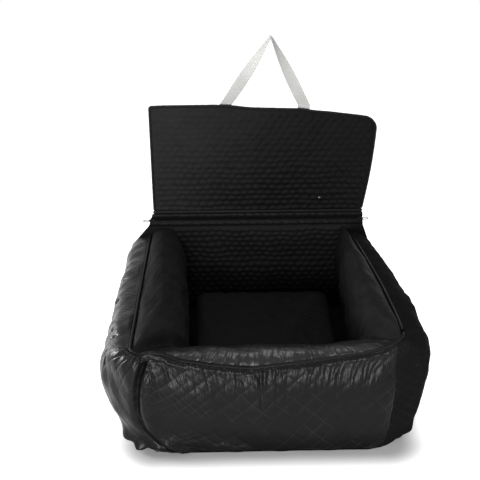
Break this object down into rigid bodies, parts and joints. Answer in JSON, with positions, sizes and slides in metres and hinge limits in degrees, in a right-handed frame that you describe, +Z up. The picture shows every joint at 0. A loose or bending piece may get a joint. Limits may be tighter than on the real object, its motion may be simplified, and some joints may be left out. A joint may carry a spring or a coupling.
{
  "type": "pet car seat cover",
  "caption": "Stuffed three-sided tub bed for a car seat, with piped bolsters, a loose floor cushion, a quilted back flap zipped on above the back panel, and a webbing headrest loop.",
  "frame": {"origin": "on the floor below the middle of the tub, X = 0 between the bolsters, on the base panel's underside", "axes": "+Z up, -Y towards the front bolster, +X to the viewer's right when facing the front"},
  "size_m": [0.639, 0.5545, 0.6728],
  "materials": {
    "side_fabric": "satin",
    "quilted_fabric": "satin",
    "inner_fabric": "matte",
    "cushion_velvet": "matte",
    "lining_fabric": "matte",
    "base_fabric": "matte",
    "piping_cord": "matte",
    "edge_binding": "matte",
    "zip_tape": "matte",
    "zip_coil": "satin",
    "black_metal": "satin",
    "bright_metal": "polished",
    "grey_webbing": "matte",
    "fibre_filling": "matte",
    "foam": "matte"
  },
  "bodies": {
    "tub": {"base_panel": "base_fabric", "left_outer_panel": "side_fabric", "front_outer_panel": "quilted_fabric", "right_outer_panel": "side_fabric", "left_inner_panel": "inner_fabric", "front_inner_panel": "inner_fabric", "right_inner_panel": "inner_fabric", "left_filling": "fibre_filling", "front_filling": "fibre_filling", "right_filling": "fibre_filling", "left_piping": "piping_cord", "front_piping": "piping_cord", "right_piping": "piping_cord", "back_panel": "quilted_fabric", "back_lining": "lining_fabric", "zip_tape_lower": "zip_tape", "zip_coil_lower": "zip_coil", "zip_coil_upper": "zip_coil", "zip_tape_upper": "zip_tape", "fold_seam": "edge_binding"},
    "left_slider": {"left_slider": "black_metal"},
    "left_pull": {"left_pull": "black_metal"},
    "right_slider": {"right_slider": "black_metal"},
    "right_pull": {"right_pull": "black_metal"},
    "flap": {"flap_quilt": "quilted_fabric", "flap_lining": "lining_fabric", "flap_binding": "edge_binding", "flap_stud": "bright_metal", "loop_end_left": "grey_webbing", "loop_end_right": "grey_webbing"},
    "strap": {"strap_loop": "grey_webbing"},
    "cushion": {"cushion_top": "cushion_velvet", "cushion_bottom": "lining_fabric", "cushion_foam": "foam"}
  },
  "joints": [
    {"name": "flap_fold", "type": "hinge", "parent": "tub", "child": "flap", "pos_m": [0, 0.24, 0.2639], "axis": [-1, 0, 0], "range_deg": [-90, 120]},
    {"name": "strap_swing", "type": "hinge", "parent": "flap", "child": "strap", "pos_m": [0, 0.24, 0.5159], "axis": [-1, 0, 0], "range_deg": [-120, 110]},
    {"name": "cushion_lift", "type": "slide", "parent": "tub", "child": "cushion", "axis": [0, 0, 1], "range_m": [0, 0.3]},
    {"name": "left_slider_slide", "type": "slide", "parent": "tub", "child": "left_slider", "axis": [1, 0, 0], "range_m": [0, 0.225]},
    {"name": "left_pull_turn", "type": "hinge", "parent": "left_slider", "child": "left_pull", "pos_m": [-0.253, 0.2362, 0.2431], "axis": [0, 0, 1], "range_deg": [0, 170]},
    {"name": "right_slider_slide", "type": "slide", "parent": "tub", "child": "right_slider", "axis": [-1, 0, 0], "range_m": [0, 0.205]},
    {"name": "right_pull_turn", "type": "hinge", "parent": "right_slider", "child": "right_pull", "pos_m": [0.237, 0.2362, 0.2431], "axis": [0, 0, -1], "range_deg": [0, 170]}
  ]
}
